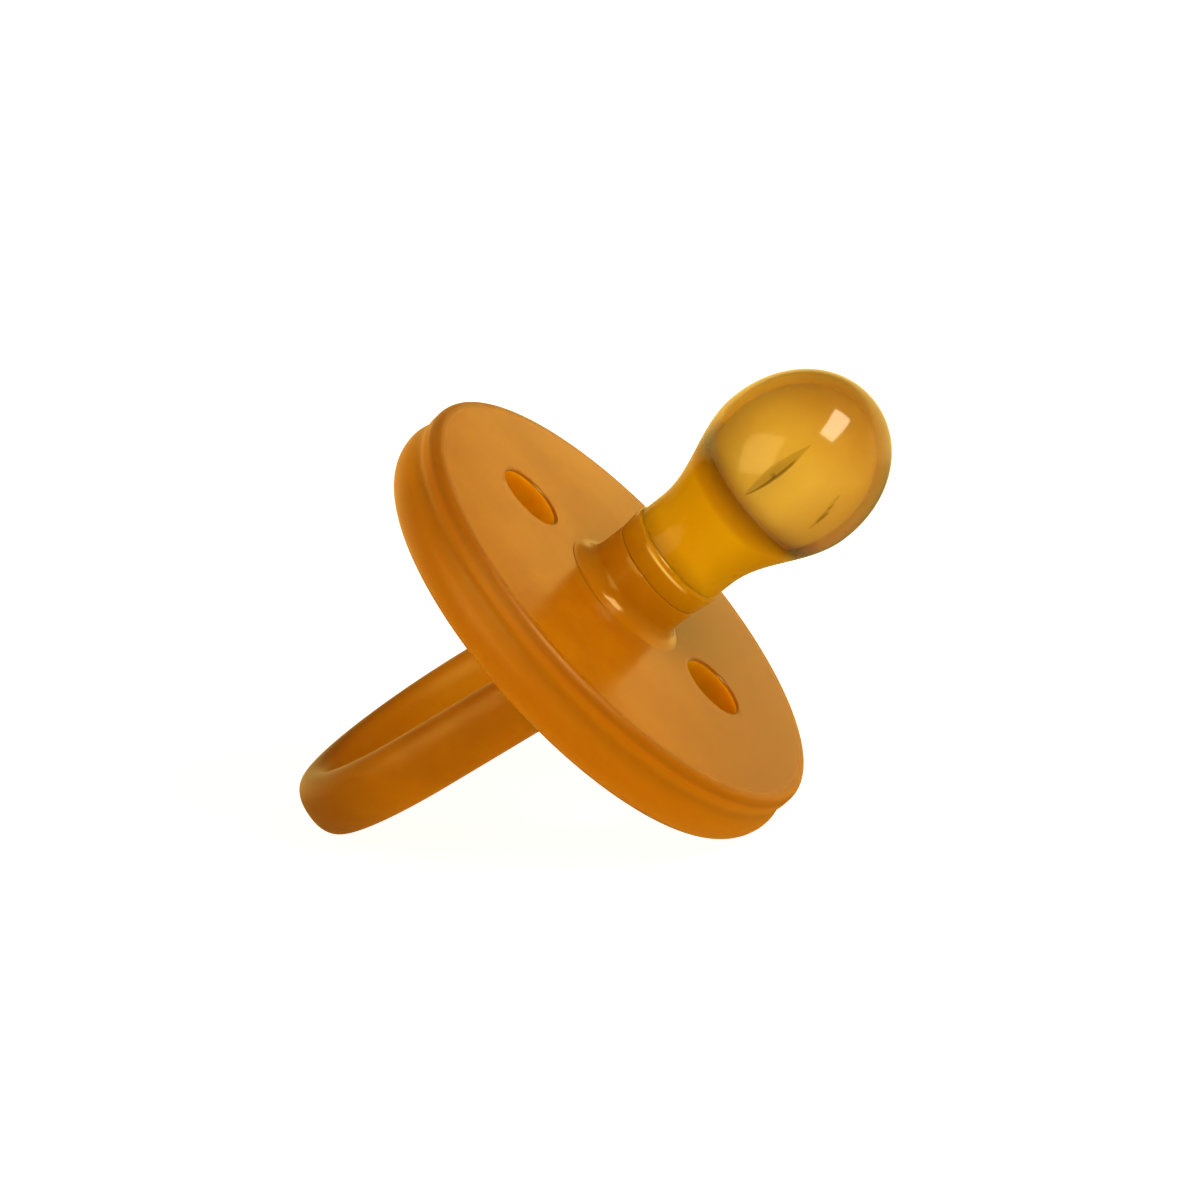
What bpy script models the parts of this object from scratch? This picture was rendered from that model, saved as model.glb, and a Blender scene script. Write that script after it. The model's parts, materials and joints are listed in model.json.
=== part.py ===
"""Natural-rubber baby pacifier: cherry teat, round shield with two vents, and a band handle.

Units are metres and +Z is up. Every piece is made in the pacifier's own frame: its axis is local
Z, pointing from the shield's front face to the teat, local X runs through the two vents, down the
shield, and local Y runs across, through the handle's two feet. An empty then leans that frame so
that the pacifier lies on a table at Z = 0, on its shield's lower rim and its handle's far end.
"""

import math

import bmesh
import bpy
from mathutils import Matrix, Vector

MM = 0.001
GAP = 0.3 * MM  # left between bonded pieces, which would otherwise share a face
OVERSHOOT = 2 * MM  # how far a cutter reaches past the faces that it cuts

# Shield: the front face is local Z = 0.
SHIELD_RADIUS = 21.5 * MM
SHIELD_THICKNESS = 6.3 * MM
FRONT_EDGE_WIDTH = 0.5 * MM
FRONT_EDGE_DEPTH = 1.5 * MM
GROOVE_RADIUS = SHIELD_RADIUS - 0.55 * MM
GROOVE_DEPTH = 2.1 * MM  # behind the front face; the two shells part here
REAR_RIM_RADIUS = SHIELD_RADIUS + 0.15 * MM
REAR_RIM_DEPTH = 3.6 * MM
REAR_EDGE_WIDTH = 2.2 * MM
VENT_RADIUS = 2.85 * MM
VENT_SPACING = 21.8 * MM
VENT_SHIFT = -0.5 * MM  # the pair of vents sits this far off the axis, along local X
REGISTER_RADII = (15.6 * MM, 18.6 * MM)  # raised ring on the rear disc that locates the front one
REGISTER_HEIGHT = 0.8 * MM

# Teat, collar and band: radii about the axis, heights above the front face.
TEAT_LENGTH = 27.1 * MM
BULB_RADIUS = 7.4 * MM
BULB_HEIGHT = 18.3 * MM
NECK_RADIUS = 4.62 * MM
NECK_HEIGHT = 8.1 * MM  # the bulb starts to swell here
TEAT_WALL = 1.7 * MM
CAVITY_HEIGHT = 13.0 * MM  # the hollow of the bulb opens out here, above the neck's bore
TEAT_BORE_RADIUS = 3.1 * MM
COLLAR_HEIGHT = 3.85 * MM
COLLAR_BORE_RADIUS = 1.8 * MM
ROOT_FILLET = 1.2 * MM
FILLET_LIP = 0.15 * MM  # thickness of the fillet's outer edge
SPIGOT_HEIGHT = 6.0 * MM
BAND_TOP = 6.35 * MM
BAND_PROUD = 0.2 * MM
BAND_THICKNESS = 0.45 * MM
FLANGE_RADIUS = 6.6 * MM
FLANGE_THICKNESS = 1.1 * MM
FLEX_HEIGHT = 3.0 * MM  # the collar bends between the front face and this height
NOD_HEIGHT = FLEX_HEIGHT / 2  # where the collar bends the teat up and down
SWAY_HEIGHT = 6.0 * MM  # where the neck bends the teat from side to side
TEAT_DROOP = math.radians(3.8)

# Plug behind the collar, with the breather that lets air out of the teat.
PLUG_HEAD_RADIUS = 4.0 * MM
PLUG_HEAD_THICKNESS = 0.9 * MM
PLUG_STEM_LENGTH = 3.0 * MM
BREATHER_RADIUS = 0.6 * MM

# Handle: an oval band bent into a loop, with a foot at each end.
HANDLE_REACH = 26.7 * MM  # from the shield's back to the outside of the loop
HANDLE_WIDTH = 25.5 * MM  # outside of one leg to outside of the other
BAND_WIDTH = 5.5 * MM  # along local X
BAND_DEPTH = 3.8 * MM  # through the band, inside to outside of the loop
STRAIGHT_LEG = 11.7 * MM
HANDLE_FLEX = math.radians(10.5)
HINGE_DEPTH = 0.8 * MM  # from the shield's back to the line about which the feet bend
LEG_START = 2.4 * MM  # from that line to the end of the band
FOOT_SEAT_DEPTH = 1.5 * MM
FOOT_FLARE = 1.3 * MM

SHIELD_SEGMENTS = 64
NECK_SEGMENTS = 36
SECTION_POINTS = 16

RUBBER = {
    "teat": (0.62, 0.30, 0.015),
    "collar": (0.40, 0.10, 0.002),
    "shield": (0.52, 0.19, 0.02),
    "handle": (0.40, 0.11, 0.002),
}


def clear_scene():
    for obj in list(bpy.data.objects):
        bpy.data.objects.remove(obj, do_unlink=True)


def rubber(tone):
    """A glossy, slightly clouded rubber in one of the four tones."""
    name = tone + "_rubber"
    material = bpy.data.materials.get(name)
    if material:
        return material
    material = bpy.data.materials.new(name)
    material.use_nodes = True
    shader = material.node_tree.nodes["Principled BSDF"]
    shader.inputs["Base Color"].default_value = (*RUBBER[tone], 1.0)
    shader.inputs["Roughness"].default_value = 0.3
    shader.inputs["Metallic"].default_value = 0.0
    shader.inputs["Subsurface Weight"].default_value = 0.4
    shader.inputs["Subsurface Scale"].default_value = 2 * MM
    return material


def empty(name, parent=None, place=(0, 0, 0), turn=0.0):
    """An empty whose frame is turned about its own Y."""
    obj = bpy.data.objects.new(name, None)
    obj.empty_display_size = 5 * MM
    obj.location = place
    obj.rotation_euler = (0, turn, 0)
    obj.parent = parent
    bpy.context.scene.collection.objects.link(obj)
    return obj


def solid(name, bm, tone, parent=None, place=(0, 0, 0)):
    """Turn a closed bmesh into a smooth-shaded object, with its faces pointing out."""
    bmesh.ops.recalc_face_normals(bm, faces=bm.faces)
    mesh = bpy.data.meshes.new(name)
    bm.to_mesh(mesh)
    bm.free()
    mesh.materials.append(rubber(tone))
    mesh.shade_smooth()
    mesh.set_sharp_from_angle(angle=math.radians(35))
    obj = bpy.data.objects.new(name, mesh)
    obj.location = place
    obj.parent = parent
    bpy.context.scene.collection.objects.link(obj)
    return obj


def cut(target, cutter):
    cutter.hide_render = True
    cutter.display_type = "WIRE"
    modifier = target.modifiers.new("cut_" + cutter.name, "BOOLEAN")
    modifier.operation = "DIFFERENCE"
    modifier.solver = "EXACT"
    modifier.object = cutter


def lathe(outline, segments):
    """Spin an outline of (radius, height) points about Z.

    An outline that starts and ends on the axis is closed by the axis; any other is a closed loop.
    """
    bm = bmesh.new()
    on_axis = outline[0][0] == 0
    rings = []
    for radius, height in outline:
        if radius == 0:
            rings.append([bm.verts.new((0, 0, height))])
            continue
        ring = []
        for step in range(segments):
            angle = 2 * math.pi * (step + 0.5) / segments
            ring.append(bm.verts.new((radius * math.cos(angle), radius * math.sin(angle), height)))
        rings.append(ring)
    pairs = list(zip(rings, rings[1:]))
    if not on_axis:
        pairs.append((rings[-1], rings[0]))
    for lower, upper in pairs:
        for step in range(segments):
            after = (step + 1) % segments
            if len(lower) == 1:
                bm.faces.new((lower[0], upper[step], upper[after]))
            elif len(upper) == 1:
                bm.faces.new((lower[step], upper[0], lower[after]))
            else:
                bm.faces.new((lower[step], lower[after], upper[after], upper[step]))
    return bm


def loft(sections):
    """Skin a list of rings of points, and cap both ends."""
    bm = bmesh.new()
    rings = [[bm.verts.new(point) for point in section] for section in sections]
    count = len(rings[0])
    for lower, upper in zip(rings, rings[1:]):
        for step in range(count):
            after = (step + 1) % count
            bm.faces.new((lower[step], lower[after], upper[after], upper[step]))
    bm.faces.new(rings[0])
    bm.faces.new(reversed(rings[-1]))
    return bm


def arc(centre, radii, start, end, steps):
    """Points on an elliptical arc, as (radius, height), from one angle in degrees to another."""
    points = []
    for step in range(steps + 1):
        angle = math.radians(start + (end - start) * step / steps)
        radius = centre[0] + radii[0] * math.cos(angle)
        points.append((radius, centre[1] + radii[1] * math.sin(angle)))
    return points


def ease(start, end, steps):
    """Points that leave one (radius, height) and reach another, along the axis at both ends."""
    points = []
    for step in range(steps + 1):
        share = step / steps
        swell = 0.5 - 0.5 * math.cos(math.pi * share)
        radius = start[0] + (end[0] - start[0]) * swell
        points.append((radius, start[1] + (end[1] - start[1]) * share))
    return points


def oval(width, depth, count=SECTION_POINTS):
    """An oval section as (across the band, through the band) pairs."""
    points = []
    for step in range(count):
        angle = 2 * math.pi * (step + 0.5) / count
        points.append((width / 2 * math.cos(angle), depth / 2 * math.sin(angle)))
    return points


def rim_radius(depth):
    """Radius of the shield's waist at a depth between the front lip and the rear rim."""
    if depth < GROOVE_DEPTH:
        share = (depth - FRONT_EDGE_DEPTH) / (GROOVE_DEPTH - FRONT_EDGE_DEPTH)
        start, end = SHIELD_RADIUS, GROOVE_RADIUS
    else:
        share = (depth - GROOVE_DEPTH) / (REAR_RIM_DEPTH - GROOVE_DEPTH)
        start, end = GROOVE_RADIUS, REAR_RIM_RADIUS
    return start + (end - start) * (0.5 - 0.5 * math.cos(math.pi * share))


def rear_edge(steps):
    depth = SHIELD_THICKNESS - REAR_RIM_DEPTH
    centre = (REAR_RIM_RADIUS - REAR_EDGE_WIDTH, -REAR_RIM_DEPTH)
    return arc(centre, (REAR_EDGE_WIDTH, depth), 0, -90, steps)


def vent_cutters(parent):
    """Two rods, longer than the shield is thick, where the vents are."""
    cutters = []
    for name, side in (("vent_top", -1), ("vent_bottom", 1)):
        reach = SHIELD_THICKNESS + OVERSHOOT
        rod = [(0, OVERSHOOT), (VENT_RADIUS, OVERSHOOT), (VENT_RADIUS, -reach), (0, -reach)]
        place = (VENT_SHIFT + side * VENT_SPACING / 2, 0, 0)
        cutters.append(solid(name, lathe(rod, 32), "shield", parent, place))
    return cutters


def make_shield_front(frame, vents):
    """Front disc: crisp front lip, a hole for the collar, and a channel for the register ring."""
    hole = NECK_RADIUS + GAP
    inner, outer = REGISTER_RADII
    channel = -GROOVE_DEPTH + REGISTER_HEIGHT
    outline = [
        (outer + GAP, -GROOVE_DEPTH),
        (outer + GAP, channel),
        (inner - GAP, channel),
        (inner - GAP, -GROOVE_DEPTH),
        (hole, -GROOVE_DEPTH),
        (hole, 0),
    ]
    centre = (SHIELD_RADIUS - FRONT_EDGE_WIDTH, -FRONT_EDGE_DEPTH)
    outline += arc(centre, (FRONT_EDGE_WIDTH, FRONT_EDGE_DEPTH), 90, 0, 6)
    steps = 3
    for step in range(1, steps + 1):
        depth = FRONT_EDGE_DEPTH + (GROOVE_DEPTH - FRONT_EDGE_DEPTH) * step / steps
        outline.append((rim_radius(depth), -depth))
    disc = solid("shield_front", lathe(outline, SHIELD_SEGMENTS), "shield", frame)
    for vent in vents:
        cut(disc, vent)


def make_shield_back(frame, vents):
    """Rear disc: wide rounded rim, stepped seat for the collar's flange and the plug, two foot seats."""
    start = GROOVE_DEPTH + GAP
    flange_floor = start + FLANGE_THICKNESS + 2 * GAP
    plug_floor = flange_floor + PLUG_HEAD_THICKNESS + GAP
    flange_seat = FLANGE_RADIUS + GAP
    plug_seat = PLUG_HEAD_RADIUS + GAP
    inner, outer = REGISTER_RADII
    outline = [
        (BREATHER_RADIUS, -SHIELD_THICKNESS),
        (BREATHER_RADIUS, -plug_floor),
        (plug_seat, -plug_floor),
        (plug_seat, -flange_floor),
        (flange_seat, -flange_floor),
        (flange_seat, -start),
        (inner, -start),
        (inner, -start + REGISTER_HEIGHT),
        (outer, -start + REGISTER_HEIGHT),
        (outer, -start),
    ]
    steps = 5
    for step in range(steps):
        depth = start + (REAR_RIM_DEPTH - start) * step / steps
        outline.append((rim_radius(depth), -depth))
    outline += rear_edge(7)
    disc = solid("shield_back", lathe(outline, SHIELD_SEGMENTS), "shield", frame)
    for vent in vents:
        cut(disc, vent)
    for side in (-1, 1):
        cut(disc, foot_seat_cutter(frame, side))


def collar_bend(point):
    """Carry a point of the collar along as the collar bends by the teat's droop."""
    share = min(max(point.z / FLEX_HEIGHT, 0.0), 1.0)
    pivot = Vector((0, 0, NOD_HEIGHT))
    return pivot + Matrix.Rotation(TEAT_DROOP * share, 3, "Y") @ (point - pivot)


def make_neck_collar(frame):
    """Tube with a flange held in the shield, a root fillet on the face, and a spigot for the teat."""
    flange_top = -(GROOVE_DEPTH + 1.5 * GAP)
    flange_bottom = flange_top - FLANGE_THICKNESS
    fillet_base = GAP
    outline = [
        (COLLAR_BORE_RADIUS, flange_bottom),
        (FLANGE_RADIUS, flange_bottom),
        (FLANGE_RADIUS, flange_top),
        (NECK_RADIUS, flange_top),
        (NECK_RADIUS, fillet_base),
    ]
    centre = (NECK_RADIUS + ROOT_FILLET, fillet_base + FILLET_LIP + ROOT_FILLET)
    outline.append((centre[0], fillet_base))
    outline += arc(centre, (ROOT_FILLET, ROOT_FILLET), 270, 180, 5)
    outline += [
        (NECK_RADIUS, FLEX_HEIGHT),
        (NECK_RADIUS, COLLAR_HEIGHT),
        (TEAT_BORE_RADIUS - GAP, COLLAR_HEIGHT),
        (TEAT_BORE_RADIUS - GAP, SPIGOT_HEIGHT),
        (COLLAR_BORE_RADIUS, SPIGOT_HEIGHT),
        (COLLAR_BORE_RADIUS, FLEX_HEIGHT),
        (COLLAR_BORE_RADIUS, NOD_HEIGHT),
        (COLLAR_BORE_RADIUS, 0),
    ]
    bm = lathe(outline, NECK_SEGMENTS)
    pivot = Vector((0, 0, NOD_HEIGHT))
    for vert in bm.verts:
        vert.co = collar_bend(vert.co) - pivot
    solid("neck_collar", bm, "collar", frame, pivot)


def tip(bulb_radius, tip_height, steps):
    """Outline from just past the bulb's widest place to the tip on the axis."""
    outline = arc((0, BULB_HEIGHT), (bulb_radius, tip_height - BULB_HEIGHT), 0, 90, steps)[1:-1]
    outline.append((0, tip_height))
    return outline


def lowered(outline):
    """The outline with its heights counted from the line about which the teat sways."""
    return [(radius, height - SWAY_HEIGHT) for radius, height in outline]


def make_teat(pivot):
    """Hollow bulb on a bored neck, open at the bottom, with a seat for the band."""
    bottom = COLLAR_HEIGHT + GAP
    seat_radius = NECK_RADIUS + BAND_PROUD - BAND_THICKNESS - GAP
    cavity_radius = BULB_RADIUS - TEAT_WALL
    shoulder = (cavity_radius - TEAT_BORE_RADIUS, BULB_HEIGHT - CAVITY_HEIGHT)
    inside = arc((TEAT_BORE_RADIUS, BULB_HEIGHT), shoulder, -90, 0, 8)
    inside += tip(cavity_radius, TEAT_LENGTH - TEAT_WALL, 8)
    outside = ease((NECK_RADIUS, NECK_HEIGHT), (BULB_RADIUS, BULB_HEIGHT), 11)
    outside += tip(BULB_RADIUS, TEAT_LENGTH, 10)
    seat = [
        (seat_radius, bottom),
        (seat_radius, BAND_TOP + GAP),
        (NECK_RADIUS, BAND_TOP + GAP),
    ]
    outline = list(reversed(inside)) + [(TEAT_BORE_RADIUS, bottom)] + seat + outside
    solid("teat", lathe(lowered(outline), NECK_SEGMENTS), "teat", pivot)


def make_neck_band(pivot):
    """Shallow ring with a crowned outside, round the teat's open end."""
    bottom = COLLAR_HEIGHT + GAP
    outer = NECK_RADIUS + BAND_PROUD
    inner = outer - BAND_THICKNESS
    middle = (bottom + BAND_TOP) / 2
    half = (BAND_TOP - bottom) / 2
    crown = arc((outer - BAND_PROUD, middle), (BAND_PROUD, half), -80, 80, 6)
    outline = [(inner, BAND_TOP), (inner, bottom)] + crown
    solid("neck_band", lathe(lowered(outline), NECK_SEGMENTS), "teat", pivot)


def make_teat_plug(frame):
    """Mushroom plug behind the collar: its stem fills the bore, and a breather runs through it."""
    head_front = -(GROOVE_DEPTH + FLANGE_THICKNESS + 3 * GAP)
    head_back = head_front - PLUG_HEAD_THICKNESS
    stem = COLLAR_BORE_RADIUS - GAP
    outline = [
        (BREATHER_RADIUS, head_back),
        (PLUG_HEAD_RADIUS, head_back),
        (PLUG_HEAD_RADIUS, head_front),
        (stem, head_front),
        (stem, head_front + PLUG_STEM_LENGTH),
        (BREATHER_RADIUS, head_front + PLUG_STEM_LENGTH),
    ]
    solid("teat_plug", lathe(outline, 24), "collar", frame)


def leg_offset():
    """How far the middle of each leg stands from the axis, along local Y."""
    return HANDLE_WIDTH / 2 - BAND_DEPTH / 2


def foot_section(width, depth, side, height):
    return [
        Vector((across, side * leg_offset() + through, height))
        for across, through in oval(width, depth)
    ]


def foot_seat_cutter(frame, side):
    flare = 2 * (FOOT_FLARE + GAP)
    width, depth = BAND_WIDTH + flare, BAND_DEPTH + flare
    top = -SHIELD_THICKNESS + FOOT_SEAT_DEPTH
    bottom = -SHIELD_THICKNESS - OVERSHOOT
    sections = [foot_section(width, depth, side, height) for height in (top, bottom)]
    name = "foot_seat_left" if side < 0 else "foot_seat_right"
    return solid(name, loft(sections), "handle", frame)


def make_handle_foot(name, frame, side):
    """Foot that sits in the shield's back, narrows to the band, and leans with the handle."""
    hinge = Vector((0, 0, -SHIELD_THICKNESS - HINGE_DEPTH))
    top = -SHIELD_THICKNESS + FOOT_SEAT_DEPTH - GAP
    bottom = hinge.z - LEG_START + GAP
    steps = 7
    sections = []
    for step in range(steps + 1):
        share = step / steps
        height = top + (bottom - top) * share
        below = (-SHIELD_THICKNESS - height) / (-SHIELD_THICKNESS - bottom)
        below = min(max(below, 0.0), 1.0)
        flare = 2 * FOOT_FLARE * (1 - below) ** 2
        turn = Matrix.Rotation(HANDLE_FLEX * below, 3, "Y")
        ring = foot_section(BAND_WIDTH + flare, BAND_DEPTH + flare, side, height)
        sections.append([turn @ (point - hinge) for point in ring])
    solid(name, loft(sections), "handle", frame, hinge)


def loop_centreline():
    """The band's middle line as (along Y, behind the hinge) points, with its outward direction."""
    half = leg_offset()
    straight = STRAIGHT_LEG - HINGE_DEPTH
    reach = HANDLE_REACH - HINGE_DEPTH - BAND_DEPTH / 2
    points = []
    leg_steps = 4
    for step in range(leg_steps):
        behind = LEG_START + (straight - LEG_START) * step / leg_steps
        points.append((Vector((-half, behind)), Vector((-1, 0))))
    arc_steps = 28
    for step in range(arc_steps + 1):
        angle = math.pi * step / arc_steps
        across = -half * math.cos(angle)
        behind = straight + (reach - straight) * math.sin(angle)
        outward = Vector((-(reach - straight) * math.cos(angle), half * math.sin(angle)))
        points.append((Vector((across, behind)), outward.normalized()))
    for step in range(leg_steps):
        behind = straight + (LEG_START - straight) * (step + 1) / leg_steps
        points.append((Vector((half, behind)), Vector((1, 0))))
    return points


def make_handle_ring(hinge):
    """Oval band along the loop's middle line."""
    sections = []
    for middle, outward in loop_centreline():
        ring = []
        for across, through in oval(BAND_WIDTH, BAND_DEPTH):
            at = middle + outward * through
            ring.append(Vector((across, at.x, -at.y)))
        sections.append(ring)
    solid("handle_ring", loft(sections), "handle", hinge)


def lowest(points, lean):
    """Height of the lowest of some pacifier-frame (x, z) points once the axis leans up by an angle."""
    return min(z * math.sin(lean) - x * math.cos(lean) for x, z in points)


def handle_end_points():
    """The oval section at the loop's far end, turned by the handle's flex."""
    tip = HANDLE_REACH - HINGE_DEPTH - BAND_DEPTH / 2
    points = []
    for across, through in oval(BAND_WIDTH, BAND_DEPTH, 180):
        behind = tip + through
        x = across * math.cos(HANDLE_FLEX) - behind * math.sin(HANDLE_FLEX)
        z = -across * math.sin(HANDLE_FLEX) - behind * math.cos(HANDLE_FLEX)
        points.append((x, z - SHIELD_THICKNESS - HINGE_DEPTH))
    return points


def resting_lean():
    """The lean of the axis above the table at which the rim and the handle's end touch it together."""
    rim = rear_edge(90)
    handle_end = handle_end_points()
    low, high = math.radians(20), math.radians(60)
    for _ in range(40):
        lean = (low + high) / 2
        if lowest(rim, lean) < lowest(handle_end, lean):
            low = lean
        else:
            high = lean
    return lean


def stand_on_origin(frame):
    """Slide the frame until the whole pacifier's box is centred along X on the origin, and on Z = 0."""
    bpy.context.view_layer.update()
    points = []
    for obj in bpy.context.scene.objects:
        if obj.type == "MESH" and not obj.hide_render:
            points += [obj.matrix_world @ vert.co for vert in obj.data.vertices]
    xs = [point.x for point in points]
    frame.location.x -= (min(xs) + max(xs)) / 2
    frame.location.z -= min(point.z for point in points)


def main():
    clear_scene()
    frame = empty("pacifier_frame", turn=math.pi / 2 - resting_lean())
    nod_pivot = empty("nod_pivot", frame, (0, 0, NOD_HEIGHT), TEAT_DROOP)
    sway_pivot = empty("sway_pivot", nod_pivot, (0, 0, SWAY_HEIGHT - NOD_HEIGHT))
    handle_hinge = empty("handle_hinge", frame, (0, 0, -SHIELD_THICKNESS - HINGE_DEPTH), HANDLE_FLEX)
    vents = vent_cutters(frame)
    make_shield_front(frame, vents)
    make_shield_back(frame, vents)
    make_neck_collar(frame)
    make_teat(sway_pivot)
    make_neck_band(sway_pivot)
    make_teat_plug(frame)
    make_handle_foot("handle_foot_left", frame, -1)
    make_handle_foot("handle_foot_right", frame, 1)
    make_handle_ring(handle_hinge)
    stand_on_origin(frame)


main()
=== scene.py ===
"""The looks of the natural-rubber pacifier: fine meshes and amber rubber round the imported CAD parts.

Every mesh is worked out in the pacifier's own frame in millimetres: the axis is z, pointing to the
teat, with the CAD shield's front face at z = 0, x runs through the vents, down the shield, and y runs
across. The frames of the shield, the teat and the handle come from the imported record.
"""

import json
import math

import bmesh
import bpy
from mathutils import Matrix, Vector


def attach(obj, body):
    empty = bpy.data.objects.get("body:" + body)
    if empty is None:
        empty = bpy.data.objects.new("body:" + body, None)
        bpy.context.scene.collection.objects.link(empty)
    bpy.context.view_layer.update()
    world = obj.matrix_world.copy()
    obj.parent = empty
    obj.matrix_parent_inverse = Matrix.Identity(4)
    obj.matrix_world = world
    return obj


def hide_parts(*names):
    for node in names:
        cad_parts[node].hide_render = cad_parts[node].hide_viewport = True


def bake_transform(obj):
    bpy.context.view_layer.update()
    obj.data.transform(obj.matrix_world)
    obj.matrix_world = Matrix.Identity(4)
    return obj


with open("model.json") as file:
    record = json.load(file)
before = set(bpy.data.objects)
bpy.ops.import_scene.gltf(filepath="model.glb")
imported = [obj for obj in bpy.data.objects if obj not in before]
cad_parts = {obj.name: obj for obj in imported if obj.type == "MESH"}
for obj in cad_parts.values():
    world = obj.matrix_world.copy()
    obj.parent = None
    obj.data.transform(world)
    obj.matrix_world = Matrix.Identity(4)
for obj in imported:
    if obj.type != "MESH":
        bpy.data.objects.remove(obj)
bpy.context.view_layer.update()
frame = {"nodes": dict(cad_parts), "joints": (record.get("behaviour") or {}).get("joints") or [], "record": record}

MM = 0.001  # every length below is in millimetres
GAP = 0.3  # between bonded pieces where it doesn't show, as in the CAD
SEAM = 0.015  # what is left between bonded pieces that show as one
SHARP_ANGLE = 35.0

# Shield
SHIELD_RADIUS = 21.5
SHIELD_THICKNESS = 6.3
FACE_DOME = 0.35  # how far the middle of the face stands above its lip
LIP_WIDTH = 0.6
LIP_DEPTH = 0.8
GROOVE_START = 1.4
GROOVE_RADIUS = 21.35
GROOVE_DEPTH = 2.1  # where the groove round the rim is deepest, behind z = 0
REAR_RIM_RADIUS = 21.65
REAR_RIM_DEPTH = 3.6
REAR_EDGE_WIDTH = 2.2
VENT_RADIUS = 2.85
VENT_SPACING = 21.8
VENT_SHIFT = -0.5  # the pair of vents sits this far off the axis, along x
VENT_LIP = 0.3  # radius of the vents' rounded edges
BREATHER_RADIUS = 0.6  # of the small hole in the middle of the back
PLUG_SEAT_RADIUS = 4.3
PLUG_SEAT_DEPTH = 5.3
FLANGE_SEAT_DEPTH = 4.1

# Teat, collar and band
TEAT_LENGTH = 27.1
BULB_RADIUS = 7.4
BULB_HEIGHT = 18.3
NECK_RADIUS = 4.62
NECK_HEIGHT = 8.1
TEAT_WALL = 1.7
TEAT_BORE_RADIUS = 3.1
COLLAR_HEIGHT = 4.0
BAND_SEAM = 0.04  # the fine line between the collar and the band
COLLAR_CORNER = 0.08
COLLAR_BORE_RADIUS = 1.8
SPIGOT_HEIGHT = 6.0  # the collar reaches this far up inside the teat
ROOT_FILLET = 1.5
ROOT_SEAT_DEPTH = 1.0  # the fillet's foot is let this far into the face
FOOT_LIP = 0.25  # the foot's thin edge reaches this far over the seam
FOOT_LIFT = 0.003  # the underside of that edge, above the face
FOOT_TOP = 0.01  # where the fillet starts, above the face
BAND_TOP = 6.35
BAND_PROUD = 0.2
BAND_THICKNESS = 0.45
STREAK_MIDDLE = -92  # a painted highlight streak on the band, in degrees round the teat
STREAK_HALF = 34
STREAK_HEIGHT = 5.8
STREAK_WIDTH = 0.15
FLANGE_RADIUS = 6.6
FLANGE_FRONT_DEPTH = 2.55
FLANGE_BACK_DEPTH = 3.65
NOD_HEIGHT = 1.5  # height of the line about which the collar bends the teat up and down
# Folds in the bulb's wall. Each has the heights and then the angles of its two ends, its half width,
# its depth, and how far its deepest line is off its middle, as a share of the half width.
CREASES = (
    (15.8, 22.8, -100.5, -100.0, 0.55, 0.42, 0.45),
    (17.4, 21.7, -53.9, -58.3, 0.2, 0.12, 0.0),
)
CAVITY_START = 13.0  # height at which the neck's thick rubber ends and the bulb's wall starts
TIP_SQUARENESS = 2.06  # exponent of the tip's outline: 2 is an ellipse

# Handle
HANDLE_REACH = 26.7  # from the shield's back to the outside of the loop
HANDLE_WIDTH = 25.5
BAND_WIDTH = 5.5
BAND_DEPTH = 3.8
BAND_SQUARENESS = 2.3  # exponent of the section's oval
STRAIGHT_LEG = 11.7
HINGE_DEPTH = 0.8  # from the shield's back to the hinge line
HANDLE_FLEX = math.radians(10.5)
FOOT_END = 1.5  # behind the hinge line
FOOT_FLARE = 1.5
LEG_OFFSET = (HANDLE_WIDTH - BAND_DEPTH) / 2  # from the axis to the middle of each leg
LEG_END = STRAIGHT_LEG - HINGE_DEPTH  # behind the hinge line
LOOP_REACH = HANDLE_REACH - HINGE_DEPTH - BAND_DEPTH / 2

GLOSS_TINT = (1.0, 0.82, 0.4)

# Stage
FLOOR_DROP = 0.1  # below the pacifier's lowest point
FLOOR_HALF = 3000
WALL_RADIUS = 2900
WALL_HEIGHT = 2500
WALL_THICKNESS = 10

# Light, as linear radiance
ROOM = (0.25, 0.2, 0.05)
BACKDROP = (1.3, 0.87, 0.22)
BACKDROP_TOP = (20, 9)  # elevations, in degrees, between which the backdrop fades in
BACKDROP_FOOT = (-25, -12)

# Camera: the middle of the picture lies a little left of and below the middle of the face.
CAMERA_AZIMUTH = math.radians(11.07)
CAMERA_ELEVATION = math.radians(16.44)
CAMERA_ROLL = math.radians(3.47)
CAMERA_DISTANCE = 648.4
CAMERA_AIM = (-1.956, -0.139)
CAMERA_LENS = 235.9


# ---------------------------------------------------------------------------------------------
# Frames


def joint(name):
    return next(j for j in frame["joints"] if j["name"] == name)


def frame_from(origin, axis):
    """A frame whose z is the axis and whose y is the row's +Y, across the pacifier."""
    z = Vector(axis).normalized()
    y = Vector((0, 1, 0))
    x = y.cross(z)
    turn = Matrix((x, y, z)).transposed().to_4x4()
    return Matrix.Translation(origin) @ turn


def shield_frame():
    face = frame["record"]["mounts"][0]
    axis = Vector(face["axis"])
    nod = Vector(joint("teat_nod")["pos_m"])
    return frame_from(nod - axis * (nod - Vector(face["pos_m"])).dot(axis), axis)


def teat_frame():
    """The shield's frame carried along by the teat's droop, so its heights match the shield's."""
    x = Vector(joint("teat_sway")["axis"])
    axis = x.cross(Vector((0, 1, 0)))
    nod = Vector(joint("teat_nod")["pos_m"])
    return frame_from(nod - axis * NOD_HEIGHT * MM, axis)


def handle_frame():
    """Origin on the hinge line, with z pointing along the straight legs towards the shield."""
    hinge = Vector(joint("handle_fold")["pos_m"])
    turned = Matrix.Rotation(HANDLE_FLEX, 3, "Y") @ (SHIELD.to_3x3() @ Vector((0, 0, 1)))
    return frame_from(hinge, turned)


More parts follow.
